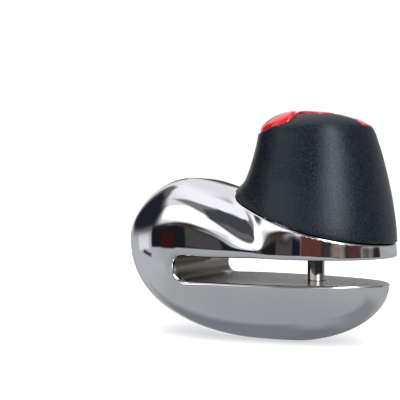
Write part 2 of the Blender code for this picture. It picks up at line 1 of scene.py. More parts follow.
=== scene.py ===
"""Looks of the disc brake lock: fine skins, procedural finishes and a plain studio.

Lengths are millimetres in the lock's own frame (origin: pin axis at the slot's
floor); place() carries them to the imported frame, in metres.
"""
import math
import bpy
import numpy as np
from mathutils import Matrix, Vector


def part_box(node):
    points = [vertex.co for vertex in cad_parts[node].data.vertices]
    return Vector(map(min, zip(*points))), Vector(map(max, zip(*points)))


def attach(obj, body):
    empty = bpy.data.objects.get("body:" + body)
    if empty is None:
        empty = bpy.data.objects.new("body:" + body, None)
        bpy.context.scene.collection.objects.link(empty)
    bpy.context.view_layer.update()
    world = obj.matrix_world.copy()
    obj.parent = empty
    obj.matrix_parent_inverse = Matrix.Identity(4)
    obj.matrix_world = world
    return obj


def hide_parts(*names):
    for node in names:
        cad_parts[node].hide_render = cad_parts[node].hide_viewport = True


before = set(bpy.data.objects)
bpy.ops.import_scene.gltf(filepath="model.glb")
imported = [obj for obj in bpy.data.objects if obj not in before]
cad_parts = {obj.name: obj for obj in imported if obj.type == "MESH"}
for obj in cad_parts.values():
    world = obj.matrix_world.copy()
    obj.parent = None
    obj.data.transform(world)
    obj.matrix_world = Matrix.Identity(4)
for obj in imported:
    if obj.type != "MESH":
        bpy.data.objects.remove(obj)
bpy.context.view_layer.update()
MM = 0.001
pin_lo, pin_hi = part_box("locking_pin")
PX = (pin_lo.x + pin_hi.x) / 2 / MM          # pin axis
FZ = pin_lo.z / MM + 6.0                     # slot floor

# ------------------------------------------------------------------ shape rules, as the CAD has them
SLOT_H, THROAT_X, SLOT_R = 8.0, -40.4, 4.0
TRAVEL = 14.5
SEAT_X = -26.6
BODY_BOTTOM, BODY_TOP = -20.5, 33.3
LEFT_X, LEFT_Z, LEFT_P_LOW, LEFT_P_UP = -66.6, 13.4, 2.34, 1.71
BELLY_X, CREST_X = -14.4, -40.8
RIGHT_X, RIGHT_P_LOW, RIGHT_P_UP = 23.6, 2.04, 1.07
JAW_X = 25.9
WIDTH, WIDTH_Z, WIDTH_P_LOW, WIDTH_P_UP = 25.7, 10.5, 1.57, 3.6
WIDEST_X = -28.3
HEART = np.array((-20.0, 0.0, 4.5))
KNOB_Z = (8.0, 12.4, 17.4, 22.1, 26.8, 31.5, 36.2, 40.3, 44.4, 46.5, 47.2, 47.9, 48.3)
KNOB_R = (25.5, 25.4, 25.15, 24.55, 23.8, 22.85, 21.4, 20.3, 19.15, 18.7, 18.5, 18.25, 17.9)
CROWN_R = 33.1


def arc(s, p):
    s = np.clip(s, 0.0, 1.0)
    return (1.0 - s ** p) ** (1.0 / p)


def smooth(t):
    t = np.clip(t, 0.0, 1.0)
    return t * t * (3 - 2 * t)


_kz = np.linspace(7.0, 48.3, 600)
_kr = np.interp(_kz, KNOB_Z, KNOB_R)
_pad = np.concatenate([2 * _kr[0] - _kr[40:0:-1], _kr, 2 * _kr[-1] - _kr[-2:-42:-1]])
_w = np.exp(-np.linspace(-2.2, 2.2, 81) ** 2)
_kr_soft = np.convolve(_pad, _w / _w.sum(), "valid")     # no corners between stations


def knob_radius(z, c=0.0):
    lean = 0.45 * np.sin(np.clip((z - 31.0) / 17.5, 0, 1) * math.pi)
    return np.interp(z, _kz, _kr_soft) + lean * c


def seat_height(x):
    return 17.2 - 0.31 * x + 0.0043 * x * x + 0.9 * np.clip((-17.0 - x) / 6.0, 0, 1) ** 2


def flare(c):
    return 2.4 * smooth((-c - 0.45) / 0.40)


def foot_solve(c):
    z = 20.0 - 8.0 * c
    for _ in range(16):
        z = 0.5 * z + 0.5 * seat_height((knob_radius(z, c) + flare(c)) * c)
    return z


FOOT_C = np.linspace(-1, 1, 1201)
FOOT_Z = foot_solve(FOOT_C)


def foot_height(c):
    return np.interp(c, FOOT_C, FOOT_Z)


def knob_skin(z, c):
    up = np.clip(z - foot_height(c), 0, None)
    return knob_radius(z, c) + flare(c) * np.exp(-(up / 2.4) ** 2)


def dome(r):
    r = np.minimum(r, 18.1)
    return 53.65 - (CROWN_R - np.sqrt(CROWN_R ** 2 - r ** 2))


def hood(r):
    return 54.12 - 5.8 * (np.clip(r, 0, 19) / 18.1) ** 4 - 1.2 * (np.clip(r - 17.6, 0, 1) / 0.7) ** 2


def body_section(z):
    low = (LEFT_Z - z) / (LEFT_Z - BODY_BOTTOM)
    up = (z - LEFT_Z) / (BODY_TOP - LEFT_Z)
    xl = np.where(z < LEFT_Z,
                  BELLY_X - (BELLY_X - LEFT_X) * arc(low, LEFT_P_LOW),
                  CREST_X - (CREST_X - LEFT_X) * arc(up, LEFT_P_UP))
    k = smooth(z / 10.0)
    xr_low = BELLY_X + (RIGHT_X - BELLY_X) * arc(z / BODY_BOTTOM, RIGHT_P_LOW)
    xr_mid = RIGHT_X + (JAW_X - RIGHT_X) * k
    xr_up = CREST_X + (JAW_X - CREST_X) * arc((z - 10) / (BODY_TOP - 10), RIGHT_P_UP)
    xr = np.where(z < 0, xr_low, np.where(z < 10, xr_mid, xr_up))
    s_low = (WIDTH_Z - z) / (WIDTH_Z - BODY_BOTTOM)
    s_up = (z - WIDTH_Z) / (BODY_TOP - WIDTH_Z)
    b = WIDTH * np.where(z < WIDTH_Z, arc(s_low, WIDTH_P_LOW), arc(s_up, WIDTH_P_UP))
    xc = np.where(z < WIDTH_Z,
                  BELLY_X + (WIDEST_X - BELLY_X) * arc(s_low, 2.0),
                  WIDEST_X + (CREST_X - WIDEST_X) * np.clip(s_up, 0, 1) ** 2)
    xc = np.clip(xc, xl + 0.3, np.maximum(xr - 0.3, xl + 0.3))
    return xl, xr, b, xc


def in_egg(x, y, z):
    xl, xr, b, xc = body_section(z)
    a = np.where(x < xc, xc - xl, xr - xc)
    e = ((x - xc) / np.maximum(a, 1e-3)) ** 2 + (y / np.maximum(b, 1e-3)) ** 2
    return (z > BODY_BOTTOM) & (z < BODY_TOP) & (e < 1.0)


def in_collar(x, y, z):
    c = x / np.maximum(np.hypot(x, y), 1e-6)
    zs = foot_height(c)
    fall = np.where(z > zs, (z - zs) / 2.4, (zs - z) / 7.0)
    rc = knob_radius(z, c) + 0.15 + 0.96 * flare(c) * np.exp(-fall * fall)
    return (x * x + y * y < rc * rc) & (z > 3.0) & (z < zs + 2.0)


def reach(inside, d):
    lo = np.zeros(len(d))
    hi = np.full(len(d), 90.0)
    for _ in range(26):
        mid = 0.5 * (lo + hi)
        p = HEART + d * mid[:, None]
        ok = inside(p[:, 0], p[:, 1], p[:, 2])
        lo = np.where(ok, mid, lo)
        hi = np.where(ok, hi, mid)
    return 0.5 * (lo + hi)


# ------------------------------------------------------------------ the casting's outer form as a smooth radial table
NLON, NLAT = 360, 180


def radial_table():
    th = (np.arange(NLAT) + 0.5) * math.pi / NLAT
    ph = np.arange(NLON) * 2 * math.pi / NLON
    T, P = np.meshgrid(th, ph, indexing="ij")
    d = np.stack([np.sin(T) * np.cos(P), np.sin(T) * np.sin(P), np.cos(T)], -1).reshape(-1, 3)
    a, b = reach(in_egg, d), reach(in_collar, d)
    k = 0.9
    R = 0.5 * (a + b + np.sqrt((a - b) ** 2 + k * k)) - 0.5 * k * np.exp(-((a - b) / 9.0) ** 2)
    R = R.reshape(NLAT, NLON)
    R = 0.5 * (R + R[:, (-np.arange(NLON)) % NLON])       # exactly the same on both sides
    sig = math.radians(1.3)
    m = np.fft.rfftfreq(NLON, 1.0 / NLON)
    F = np.fft.rfft(R, axis=1) * np.exp(-0.5 * (m[None, :] * sig / np.sin(th)[:, None]) ** 2)
    R = np.fft.irfft(F, NLON, axis=1)

    def along(R, sig, pad, keep):
        flip = np.roll(R, NLON // 2, axis=1)
        E = np.concatenate([flip[pad - 1::-1], R, flip[:-pad - 1:-1]], 0)
        h = pad - keep
        w = np.exp(-0.5 * (np.arange(-h, h + 1) / (sig * NLAT / math.pi)) ** 2)
        w /= w.sum()
        return sum(w[i] * E[i:E.shape[0] - 2 * h + i] for i in range(2 * h + 1))

    extra = 4
    E = along(R, sig, 16, extra)
    return E - 0.05, extra        # a hair inside the casting


TABLE, EXTRA = radial_table()
TABLE = np.concatenate([TABLE[:, -3:], TABLE, TABLE[:, :4]], 1)


def spline_weights(t):
    return ((1 - t) ** 3 / 6, (3 * t ** 3 - 6 * t ** 2 + 4) / 6,
            (-3 * t ** 3 + 3 * t ** 2 + 3 * t + 1) / 6, t ** 3 / 6)


def outer_field(P):
    """About the distance to the casting's outer form, without slot or seat."""
    q = P - HEART
    r = np.sqrt((q * q).sum(1)) + 1e-9
    u = np.arccos(np.clip(q[:, 2] / r, -1, 1)) * NLAT / math.pi - 0.5 + EXTRA
    v = np.mod(np.arctan2(q[:, 1], q[:, 0]), 2 * math.pi) * NLON / (2 * math.pi) + 3
    iu, iv = np.floor(u).astype(int), np.floor(v).astype(int)
    wu, wv = spline_weights(u - iu), spline_weights(v - iv)
    R = np.zeros(len(P))
    for a in range(4):
        ra = np.clip(iu + a - 1, 0, TABLE.shape[0] - 1)
        for b in range(4):
            R += wu[a] * wv[b] * TABLE[ra, np.clip(iv + b - 1, 0, TABLE.shape[1] - 1)]
    return (r - R) * 0.9


def meet(a, b, r):
    """Both solids' common part, its edge rounded to radius r."""
    return np.minimum(-r, np.maximum(a, b)) + np.hypot(np.maximum(a + r, 0), np.maximum(b + r, 0))


def join(a, b, r):
    """Either solid, with a fillet of radius r between them."""
    return -meet(-a, -b, r)


def lip_radius(x):
    return 1.35 + 1.25 * smooth((-26.0 - x) / 12.0) - 0.7 * smooth((x - 6.0) / 12.0)


def slot_distance(x, z):
    return np.hypot(np.maximum(THROAT_X + SLOT_R - x, 0), z - SLOT_H / 2) - SLOT_R


def body_field(P):
    x, y, z = P.T
    rho = np.hypot(x, y)
    xs = np.clip(x, -30, 40)
    slope = -0.31 + 0.0086 * xs
    above = (z - seat_height(xs)) / np.sqrt(1 + slope * slope)
    f = meet(outer_field(P), join(above, x - SEAT_X, 0.7), 0.5)
    tower = meet(meet(rho - 15.0, z - 40.0, 0.6), 9.0 - z, 0.2)
    f = join(f, tower, 0.6)
    f = meet(f, -slot_distance(x, z), lip_radius(x))
    f = meet(f, -np.maximum(rho - 10.9, 12.4 - z), 0.35)
    f = meet(f, -np.maximum(np.maximum(rho - 3.15, 5.0 - z), z - 14.0), 0.3)
    f = meet(f, -np.maximum(np.maximum(rho - 3.7, -7.4 - z), z - 3.0), 0.12)
    tap = np.maximum(np.hypot((x - y) / math.sqrt(2), z - 37.0) - 1.75, x + y + 9.0 * math.sqrt(2))
    f = meet(f, -tap, 0.2)
    latch = np.maximum(np.maximum(np.abs(x - 10.2) - 2.2, np.abs(y) - 2.9), np.abs(z - 28.5) - 2.3)
    f = np.maximum(f, -latch)
    return meet(f, -19.995 - z, 0.9)


# ------------------------------------------------------------------ mesh from a field
def gradient(field, P, e=0.02):
    g = np.empty_like(P)
    for k in range(3):
        d = np.zeros(3)
        d[k] = e
        g[:, k] = (field(P + d) - field(P - d)) / (2 * e)
    return g


def skin(field, lo, hi, h, steps=4):
    """Closed quad skin of field < 0, with its points drawn onto the surface."""
    n = [int(math.ceil((b - a) / h)) + 1 for a, b in zip(lo, hi)]
    ax = [lo[i] + h * np.arange(n[i]) for i in range(3)]
    Y, Z = np.meshgrid(ax[1], ax[2], indexing="ij")
    vals = np.empty(n)
    for i, x in enumerate(ax[0]):
        P = np.stack([np.full(Y.size, x), Y.ravel(), Z.ravel()], 1)
        vals[i] = field(P).reshape(n[1], n[2])
    s = vals < 0
    count = np.zeros([k - 1 for k in n], np.int8)
    for a in (0, 1):
        for b in (0, 1):
            for c in (0, 1):
                count += s[a:n[0] - 1 + a, b:n[1] - 1 + b, c:n[2] - 1 + c]
    active = (count > 0) & (count < 8)
    idx = np.full(active.shape, -1)
    cells = np.argwhere(active)
    idx[active] = np.arange(len(cells))
    acc, cnt = np.zeros((len(cells), 3)), np.zeros(len(cells))
    for axis in range(3):
        for a in (0, 1):
            for b in (0, 1):
                o = np.zeros(3, int)
                o[(axis + 1) % 3], o[(axis + 2) % 3] = a, b
                step = np.zeros(3, int)
                step[axis] = 1
                c0, c1 = cells + o, cells + o + step
                v0, v1 = vals[tuple(c0.T)], vals[tuple(c1.T)]
                hit = (v0 < 0) != (v1 < 0)
                t = v0[hit] / (v0[hit] - v1[hit])
                acc[hit] += c0[hit] + t[:, None] * step
                cnt[hit] += 1
    P = np.array(lo) + h * acc / cnt[:, None]
    quads = []
    for axis in range(3):
        b, c = (axis + 1) % 3, (axis + 2) % 3
        s0 = np.take(s, range(0, n[axis] - 1), axis)
        s1 = np.take(s, range(1, n[axis]), axis)
        e = np.argwhere(s0 != s1)
        e = e[(e[:, b] > 0) & (e[:, b] < n[b] - 1) & (e[:, c] > 0) & (e[:, c] < n[c] - 1)]
        inside = s0[tuple(e.T)]
        corner = []
        for ob, oc in ((-1, -1), (0, -1), (0, 0), (-1, 0)):
            o = np.zeros(3, int)
            o[b], o[c] = ob, oc
            corner.append(idx[tuple((e + o).T)])
        q = np.stack(corner, 1)
        q[~inside] = q[~inside][:, ::-1]
        quads.append(q)
    for _ in range(steps):
        g = gradient(field, P)
        m = g * (field(P) / np.maximum((g * g).sum(1), 0.2))[:, None]
        size = np.sqrt((m * m).sum(1))
        P = P - m * np.minimum(1.0, 0.5 * h / np.maximum(size, 1e-9))[:, None]
    g = gradient(field, P)
    g /= np.maximum(np.sqrt((g * g).sum(1)), 1e-9)[:, None]
    return P, np.concatenate(quads), g


def place(P):
    return (np.asarray(P, float) + (PX, 0.0, FZ)) * MM


def piece(name, P, faces, mat, body, nodes=(), normals=None, angle=None):
    me = bpy.data.meshes.new(name)
    me.from_pydata(place(P).tolist(), [], [tuple(map(int, f)) for f in faces])
    me.shade_smooth()
    if normals is not None:
        me.normals_split_custom_set_from_vertices(normals.tolist())
    elif angle is not None:
        me.set_sharp_from_angle(angle=math.radians(angle))
    me.materials.append(mat)
    ob = bpy.data.objects.new(name, me)
    bpy.context.scene.collection.objects.link(ob)
    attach(ob, body)
    if nodes:
        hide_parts(*nodes)
    return ob


def rings(rows, closed_loop=True):
    """Quads over rows of rings; rows is (count, seg, 3)."""
    R, S = rows.shape[:2]
    i = np.arange(S)
    j = (i + 1) % S
    out = []
    for k in range(R if closed_loop else R - 1):
        a, b = k * S, ((k + 1) % R) * S
        out.append(np.stack([a + i, a + j, b + j, b + i], 1))
    return rows.reshape(-1, 3), np.concatenate(out)


def turned(name, profile, mat, body, nodes=(), seg=128, cx=0.0, cy=0.0, angle=28, caps=False, flip=False):
    """Turned piece from a closed (radius, height) outline that runs up its outside.

    With caps, the outline's two ends lie on the axis and close there."""
    prof = np.array(profile, float)
    t = 2 * math.pi * np.arange(seg) / seg
    if caps:
        inner = prof[1:-1]
        rows = np.stack([np.stack([r * np.cos(t) + cx, r * np.sin(t) + cy, np.full(seg, z)], 1) for r, z in inner])
        P, F = rings(rows, False)
        P = np.vstack([P, [[cx, cy, prof[0, 1]], [cx, cy, prof[-1, 1]]]])
        i = np.arange(seg)
        j = (i + 1) % seg
        F = F.tolist()
        F += [(len(P) - 2, b, a) for a, b in zip(i, j)]
        top = (len(inner) - 1) * seg
        F += [(len(P) - 1, top + a, top + b) for a, b in zip(i, j)]
    else:
        rows = np.stack([np.stack([r * np.cos(t) + cx, r * np.sin(t) + cy, np.full(seg, z)], 1) for r, z in prof])
        P, F = rings(rows, True)
        F = F.tolist()
    if flip:
        F = [tuple(f[::-1]) for f in F]
    return piece(name, P, F, mat, body, nodes, angle=angle)


# ------------------------------------------------------------------ materials
class Mat:
    """Small helper around a node material."""

    def __init__(self, name, **sockets):
        self.m = bpy.data.materials.new(name)
        self.m.use_nodes = True
        self.t = self.m.node_tree
        self.b = self.t.nodes["Principled BSDF"]
        for k, v in sockets.items():
            self.b.inputs[k.replace("_", " ")].default_value = v
        self.co = self.t.nodes.new("ShaderNodeTexCoord").outputs["Object"]
        self.normal = None

    def new(self, kind, **kw):
        n = self.t.nodes.new(kind)
        for k, v in kw.items():
            setattr(n, k, v)
        return n

    def link(self, a, b):
        self.t.links.new(a, b)

    def stretch(self, sx, sy, sz):
        n = self.new("ShaderNodeMapping")
        n.inputs["Scale"].default_value = (sx, sy, sz)
        self.link(self.co, n.inputs["Vector"])
        return n.outputs["Vector"]

    def noise(self, scale, detail=3.0, rough=0.55, vector=None, distortion=0.0):
        n = self.new("ShaderNodeTexNoise")
        n.inputs["Scale"].default_value = scale
        n.inputs["Detail"].default_value = detail
        n.inputs["Roughness"].default_value = rough
        n.inputs["Distortion"].default_value = distortion
        self.link(vector or self.co, n.inputs["Vector"])
        return n.outputs["Fac"]

    def span(self, value, lo, hi, a=0.0, b=1.0):
        n = self.new("ShaderNodeMapRange")
        n.inputs["From Min"].default_value, n.inputs["From Max"].default_value = a, b
        n.inputs["To Min"].default_value, n.inputs["To Max"].default_value = lo, hi
        self.link(value, n.inputs["Value"])
        return n.outputs["Result"]

    def math(self, op, a, b):
        n = self.new("ShaderNodeMath", operation=op)
        for s, v in zip(n.inputs, (a, b)):
            if isinstance(v, (int, float)):
                s.default_value = v
            else:
                self.link(v, s)
        return n.outputs[0]

    def mix(self, fac, a, b):
        n = self.new("ShaderNodeMix", data_type="RGBA")
        self.link(fac, n.inputs["Factor"])
        for s, v in ((n.inputs["A"], a), (n.inputs["B"], b)):
            pass
        for s, v in ((n.inputs[6], a), (n.inputs[7], b)):
            if isinstance(v, tuple):
                s.default_value = (*v, 1.0)
            else:
                self.link(v, s)
        return n.outputs[2]

    def attribute(self, name):
        n = self.new("ShaderNodeAttribute", attribute_name=name)
        return n.outputs["Fac"]

    def bump(self, height, distance, strength=1.0):
        n = self.new("ShaderNodeBump")
        n.inputs["Distance"].default_value = distance
        n.inputs["Strength"].default_value = strength
        self.link(height, n.inputs["Height"])
        if self.normal is not None:
            self.link(self.normal, n.inputs["Normal"])
        self.normal = n.outputs["Normal"]
        self.link(self.normal, self.b.inputs["Normal"])

    def colour(self, out):
        self.link(out, self.b.inputs["Base Color"])

    def rough(self, out):
        self.link(out, self.b.inputs["Roughness"])


# mirror chrome, turning to satin nickel on the slot's walls (attribute "satin"), with painted shade darkening the
# slot's satin towards its closed end (attribute "depth")
c = Mat("chrome_plate", Metallic=1.0)
mask = c.attribute("satin")
cloud = c.noise(60.0, 2.0)
streak = c.noise(1.0, 4.0, 0.6, c.stretch(260.0, 3800.0, 3800.0))
# painted shade: the "depth" attribute below carries painted shade for the slot, not a property of the metal
shade = c.attribute("depth")
tint = c.mix(c.span(streak, 0.0, 1.0, 0.32, 0.68), (0.62, 0.61, 0.575), (0.92, 0.91, 0.88))
# painted shade: the satin tint is darkened to olive black where the "depth" attribute is high, deep in the slot
tint = c.mix(c.math("MULTIPLY", shade, c.span(streak, 1.0, 0.62, 0.36, 0.64)), tint, (0.10, 0.085, 0.05))
c.colour(c.mix(mask, c.mix(cloud, (0.80, 0.81, 0.835), (0.86, 0.87, 0.885)), tint))
c.rough(c.math("ADD", c.span(c.noise(900.0, 2.0), 0.02, 0.05),
               c.math("MULTIPLY", mask, c.span(streak, 0.12, 0.24, 0.3, 0.7))))
c.bump(c.noise(70.0, 1.0, 0.4), 0.00002, 0.6)
c.bump(c.math("MULTIPLY", streak, mask), 0.00002, 0.8)
CHROME = c.m


def plastic(name, dark, light, rough_lo, rough_hi, grain, depth, spec):
    p = Mat(name, Specular_IOR_Level=spec, Specular_Tint=(0.84, 0.92, 1.0, 1.0))
    n1 = p.noise(grain, 2.0, 0.65)
    cells = p.new("ShaderNodeTexVoronoi")
    cells.inputs["Scale"].default_value = grain * 1.15
    p.link(p.co, cells.inputs["Vector"])
    n1 = p.math("ADD", p.math("MULTIPLY", n1, 0.55), p.math("MULTIPLY", cells.outputs["Distance"], 0.42))
    n2 = p.noise(grain * 0.43, 2.0, 0.5)
    p.colour(p.mix(p.span(n1, 0, 1, 0.35, 0.70), dark, light))
    p.rough(p.span(n1, rough_lo, rough_hi, 0.3, 0.7))
    p.bump(n1, depth, 0.9)
    p.bump(n2, depth * 1.3, 0.5)
    return p.m


KNOB_BLACK = plastic("knob_black_grained", (0.0012, 0.0022, 0.005), (0.014, 0.019, 0.028), 0.20, 0.44, 2400.0,
                     0.00006, 0.34)
CAP_BLACK = plastic("cap_black_satin", (0.009, 0.012, 0.018), (0.013, 0.017, 0.024), 0.34, 0.40, 5200.0,
                    0.00001, 0.08)
r = Mat("accent_red_gloss", Roughness=0.16, Coat_Weight=0.5, Coat_Roughness=0.06)
flow = r.noise(45.0, 2.0)
r.colour(r.mix(flow, (0.50, 0.006, 0.010), (0.60, 0.010, 0.015)))
r.rough(r.span(r.noise(1400.0, 2.0), 0.13, 0.22))
r.bump(r.noise(160.0, 1.0), 0.00001, 0.5)
RED = r.m


def metal(name, a, b, rough_lo, rough_hi, lines="Z", scale=2600.0, depth=0.000006):
    p = Mat(name, Metallic=1.0)
    s = {"Z": (120.0, 120.0, scale), "R": (scale, scale, 120.0), "N": (scale, scale, scale)}[lines]
    n = p.noise(1.0, 3.0, 0.6, p.stretch(*s))
    p.colour(p.mix(n, a, b))
    p.rough(p.span(n, rough_lo, rough_hi, 0.25, 0.75))
    p.bump(n, depth, 0.7)
    return p.m


PIN_STEEL = metal("pin_steel_polished", (0.40, 0.385, 0.365), (0.52, 0.50, 0.48), 0.05, 0.11)
BUSH_STEEL = metal("bush_steel_turned", (0.42, 0.42, 0.43), (0.55, 0.55, 0.56), 0.22, 0.34)
BRONZE = metal("sleeve_bronze", (0.42, 0.26, 0.12), (0.55, 0.37, 0.19), 0.30, 0.45, "N", 900.0)
SPRING = metal("spring_wire", (0.40, 0.40, 0.42), (0.55, 0.55, 0.57), 0.22, 0.35, "N", 1500.0)
OXIDE = metal("black_oxide_steel", (0.020, 0.020, 0.022), (0.05, 0.05, 0.055), 0.34, 0.5, "N", 1800.0)
DOWEL = metal("dowel_steel_ground", (0.52, 0.52, 0.54), (0.64, 0.64, 0.66), 0.18, 0.28, "N", 1500.0)
ZINC = metal("barrel_zinc_turned", (0.50, 0.50, 0.51), (0.64, 0.64, 0.65), 0.26, 0.40)
NICKEL = metal("plug_nickel_satin", (0.58, 0.56, 0.50), (0.72, 0.70, 0.64), 0.18, 0.30, "R")
WAFER = metal("wafer_brass_stamped", (0.58, 0.40, 0.15), (0.74, 0.55, 0.25), 0.24, 0.38, "N", 1200.0)
CAM = metal("cam_steel_sintered", (0.36, 0.36, 0.38), (0.50, 0.50, 0.52), 0.32, 0.46, "N", 2200.0)
BOLT = metal("bolt_steel_milled", (0.46, 0.46, 0.48), (0.60, 0.60, 0.62), 0.22, 0.36, "R", 1600.0)
g = Mat("seal_rubber_black", Roughness=0.7)
dust = g.noise(700.0, 4.0)
g.colour(g.mix(dust, (0.010, 0.010, 0.011), (0.030, 0.030, 0.031)))
g.rough(g.span(dust, 0.6, 0.85))
g.bump(dust, 0.00003, 0.6)
RUBBER = g.m

# ------------------------------------------------------------------ chrome casting
fine = 0.4
P, F, N = skin(body_field, (-67.6, -26.7, -21.0), (27.3, 26.7, 40.9), fine)
body = piece("body_casting_skin", P, F, CHROME, "body", ["body_casting"], N)
x, y, z = P.T
ds = np.abs(slot_distance(x, z))
deep = smooth((-outer_field(P) - lip_radius(x) * 0.92) / 0.5) * (ds < 0.06)
inner = smooth((15.3 - np.hypot(x, y)) / 0.2) * (z > 12.0)
# painted shade for the slot: "depth" rises towards the slot's closed end and its floor and darkens the chrome tint
# there
depth = smooth((-12.0 - x) / 24.0) * (0.45 + 0.55 * smooth((3.5 - z) / 3.0 + smooth((-34 - x) / 4.0)))
for label, value in (("satin", np.maximum(deep, inner)), ("depth", depth)):
    att = body.data.attributes.new(label, "FLOAT", "POINT")
    att.data.foreach_set("value", value.astype(np.float32))

# ------------------------------------------------------------------ knob shell
SEG = 288
HOOD_EDGE = [(-17.5, -14.5), (-14.0, -14.2), (-11.0, -15.1), (-8.4, -15.8), (-6.2, -15.9), (-4.6, -15.3), (-3.5, -14.1),
             (-3.0, -12.4),
             (-3.2, -10.0), (-3.7, -7.2), (-4.1, -4.0), (-4.2, 0.0)]
TIP_EDGE = [(12.9, 0.0), (13.2, -2.0), (14.1, -3.4), (15.3, -4.3), (16.4, -4.7), (17.2, -4.5), (17.9, -3.9),
            (21.0, -3.3)]


def knob_shell():
    a = 2 * math.pi * np.arange(SEG) / SEG
    c, s = np.cos(a), np.sin(a)
    z0 = foot_height(c) + 0.35
    hz = smooth((-0.42 - c) / 0.34)
    tz = 0.0 * c
    top = 48.25 - 1.35 * hz - 0.85 * tz
    low = np.maximum(hz, tz)
    rows = []

    def row(rr, zz):
        rows.append(np.stack([rr * c, rr * s, zz + 0 * c], 1))

    rf = 0.4
    for k in range(7):                                   # rounded outer foot
        w = -math.pi / 2 + k * math.pi / 12
        zz = z0 + rf + rf * math.sin(w)
        row(knob_skin(z0 + rf, c) - rf + rf * math.cos(w), zz)
    for t in np.concatenate([np.linspace(0.03, 0.3, 16), np.linspace(0.33, 1.0, 34)]):
        zz = z0 + rf + (top - z0 - rf) * t
        row(knob_skin(zz, c), zz)
    rt = knob_skin(top, c)
    row(rt - 0.06, top + 0.12 * (1 - low) + 0.03 * low)
    row(rt - 0.18, top + 0.26 * (1 - low) + 0.05 * low)
    row((rt - 0.32) * (1 - low) + (rt - 0.5) * low, top + 0.34 * (1 - low) + 0.05 * low)
    row(17.56 + 0 * c, top + 0.30 * (1 - low) + 0.02 * low)
    row(17.54 + 0 * c, top + 0.0 * c - 0.15)
    row(17.54 + 0 * c, np.minimum(47.3, top - 0.3))
    row(9.35 + 0 * c, np.minimum(47.3, top - 0.3) * 0 + 46.6)
    row(9.35 + 0 * c, 46.0 + 0 * c)
    row(15.6 + 0 * c, 46.0 + 0 * c)
    for t in np.linspace(0.97, 0.0, 26):
        zz = z0 + (45.4 - z0) * t
        row(knob_radius(zz, c) - 2.8, zz)
    for k in range(1, 4):
        row(knob_skin(z0 + rf, c) - rf - 2.0 * (3 - k) / 3 - 0.05, z0)
    return rings(np.array(rows))


P, F = knob_shell()
piece("knob_shell_skin", P, F, KNOB_BLACK, "knob", ["knob_shell"], angle=32)

# ------------------------------------------------------------------ plan outlines of the red pieces
def curve_through(pts, n=14):
    p = np.array(pts, float)
    q = np.vstack([2 * p[0] - p[1], p, 2 * p[-1] - p[-2]])
    out = []
    for i in range(1, len(q) - 2):
        for t in np.linspace(0, 1, n, endpoint=False):
            out.append(0.5 * (2 * q[i] + (q[i + 1] - q[i - 1]) * t
                              + (2 * q[i - 1] - 5 * q[i] + 4 * q[i + 1] - q[i + 2]) * t * t
                              + (3 * q[i] - q[i - 1] - 3 * q[i + 1] + q[i + 2]) * t ** 3))
    out.append(p[-1])
    return np.array(out)


def plan_table(loop):
    """Signed distance to a closed plan outline (negative inside), on a grid."""
    g = np.arange(-22.0, 22.01, 0.125)
    X, Y = np.meshgrid(g, g, indexing="ij")
    X, Y = X.ravel(), Y.ravel()
    best = np.full(X.size, 1e9)
    inside = np.zeros(X.size, bool)
    for (ax, ay), (bx, by) in zip(loop, np.roll(loop, -1, 0)):
        dx, dy = bx - ax, by - ay
        t = np.clip(((X - ax) * dx + (Y - ay) * dy) / max(dx * dx + dy * dy, 1e-12), 0, 1)
        best = np.minimum(best, (X - ax - t * dx) ** 2 + (Y - ay - t * dy) ** 2)
        if ay != by:
            inside ^= ((ay > Y) != (by > Y)) & (X < (bx - ax) * (Y - ay) / (by - ay) + ax)
    d = np.sqrt(best) * np.where(inside, -1, 1)
    return d.reshape(len(g), len(g))


def plan_lookup(table, x, y):
    u, v = np.clip((x + 22) / 0.125, 0, 350.99), np.clip((y + 22) / 0.125, 0, 350.99)
    i, j = u.astype(int), v.astype(int)
    a, b = u - i, v - j
    return ((1 - a) * ((1 - b) * table[i, j] + b * table[i, j + 1])
            + a * ((1 - b) * table[i + 1, j] + b * table[i + 1, j + 1]))


half = curve_through(HOOD_EDGE)
hood_loop = np.vstack([[(-21.9, -14.5)], half, (half * (1, -1))[-2::-1], [(-21.9, 14.5)]])
half = curve_through(TIP_EDGE)
tip_loop = np.vstack([half, (half * (1, -1))[:0:-1]])
HOOD_PLAN, TIP_PLAN = plan_table(hood_loop), plan_table(tip_loop)
UNDER_R = (0.0, 14.0, 15.5, 16.5, 17.2, 30.0)


def hood_under(r):
    return np.where(r < 14.0, dome(r) - 0.7,
                    np.interp(r, UNDER_R[1:], (float(dome(14.0)) - 0.7, 48.7, 48.0, 47.2, 47.2)))


def steep(fn, r):
    return np.sqrt(1 + ((fn(r + 0.02) - fn(r - 0.02)) / 0.04) ** 2)


def hood_field(P):
    x, y, z = P.T
    r = np.hypot(x, y)
    top = (z - hood(r)) / steep(hood, r)
    edge = meet(plan_lookup(HOOD_PLAN, x, y) + 0.02, r - 18.32, 0.5)
    f = meet(top, edge, 0.15)
    f = meet(f, (0.9 * top + edge) / 1.35 + 0.72, 0.22)      # the bevel round its outline
    f = meet(f, hood_under(r) + 0.02 - z, 0.14)
    f = meet(f, 6.22 - r, 0.2)
    notch = np.maximum(np.maximum(np.abs(x + 6.7) - 1.68, np.abs(y) - 1.7), 50.5 - z)
    f = meet(f, -notch, 0.25)
    bore = np.maximum(np.hypot(x + 7.0, z - 53.0) - 0.6, np.abs(y) - 3.0)
    return meet(f, -bore, 0.05)


